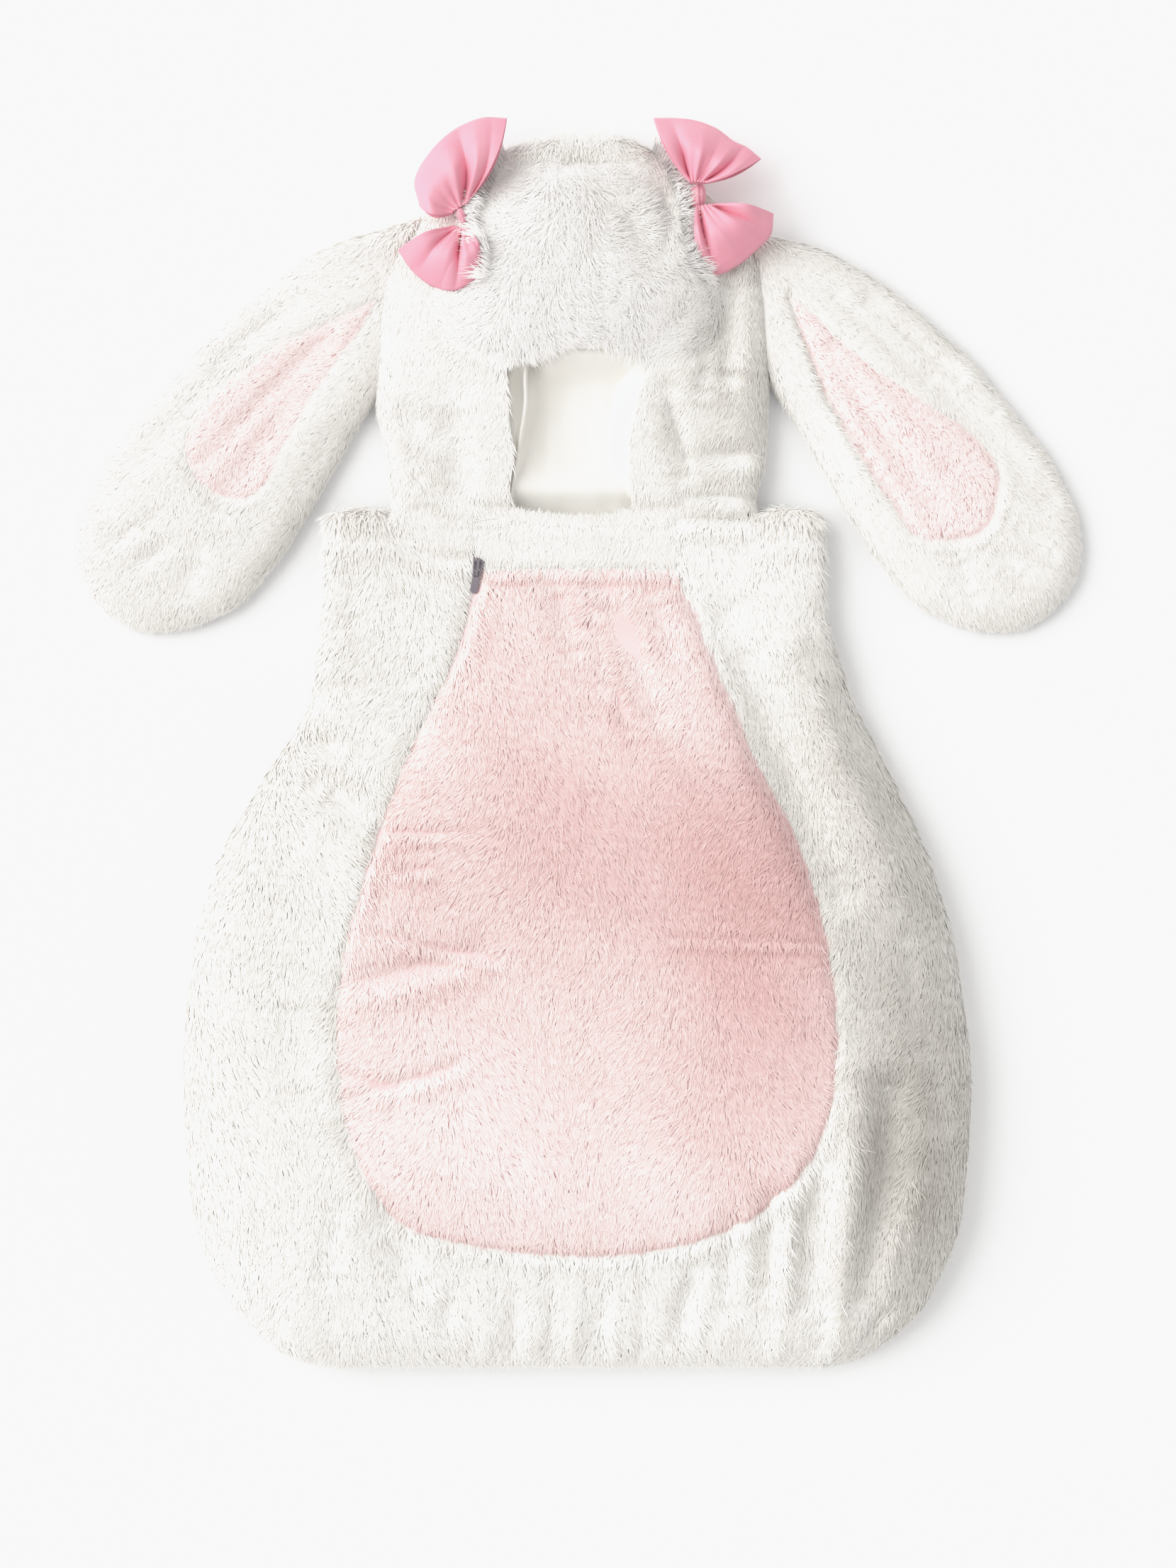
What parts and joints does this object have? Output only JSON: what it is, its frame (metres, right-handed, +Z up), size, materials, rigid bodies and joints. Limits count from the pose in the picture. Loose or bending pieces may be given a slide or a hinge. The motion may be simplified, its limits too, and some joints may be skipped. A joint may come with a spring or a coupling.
{
  "type": "child's bunny costume with hood, laid flat",
  "caption": "Sleeveless plush bunny costume laid flat: hooded tunic with long ears, satin bows, pink belly, side zip and gathered hem.",
  "frame": {"origin": "middle of the garment's outline, on the surface it lies on", "axes": "+Y from the hem up to the hood, +X to the right as seen from the front, +Z up from the surface, out of the garment's front"},
  "size_m": [0.6384, 0.7886, 0.073],
  "materials": {
    "plush_white": "short white faux fur, matt",
    "long_pile": "long white faux fur, soft",
    "plush_pink": "pale pink faux fur, matt",
    "satin": "pink satin, soft sheen",
    "lining": "smooth off-white lining cloth",
    "zip_tape": "white woven tape",
    "zip_metal": "dark grey metal, satin gloss"
  },
  "bodies": {
    "garment": {"front_panel": "plush_white", "back_panel": "plush_white", "belly_panel": "plush_pink", "neck_band": "plush_white", "hood_front": "plush_white", "hood_tuft": "long_pile", "hood_back": "plush_white", "hood_lining": "lining", "ear_left_front": "plush_white", "ear_left_inside": "plush_pink", "ear_left_back": "plush_white", "ear_right_front": "plush_white", "ear_right_inside": "plush_pink", "ear_right_back": "plush_white", "bow_left_upper": "satin", "bow_left_lower": "satin", "bow_left_knot": "satin", "bow_right_upper": "satin", "bow_right_lower": "satin", "bow_right_knot": "satin", "zip_tape": "zip_tape", "zip_slider": "zip_metal"},
    "zip_pull": {"zip_pull_tab": "zip_metal"}
  },
  "joints": [
    {"name": "zip_pull_hinge", "type": "hinge", "parent": "garment", "child": "zip_pull", "pos_m": [-0.06263, 0.11475, 0.02705], "axis": [-0.9877, 0.1564, 0], "range_deg": [0, 150]}
  ]
}
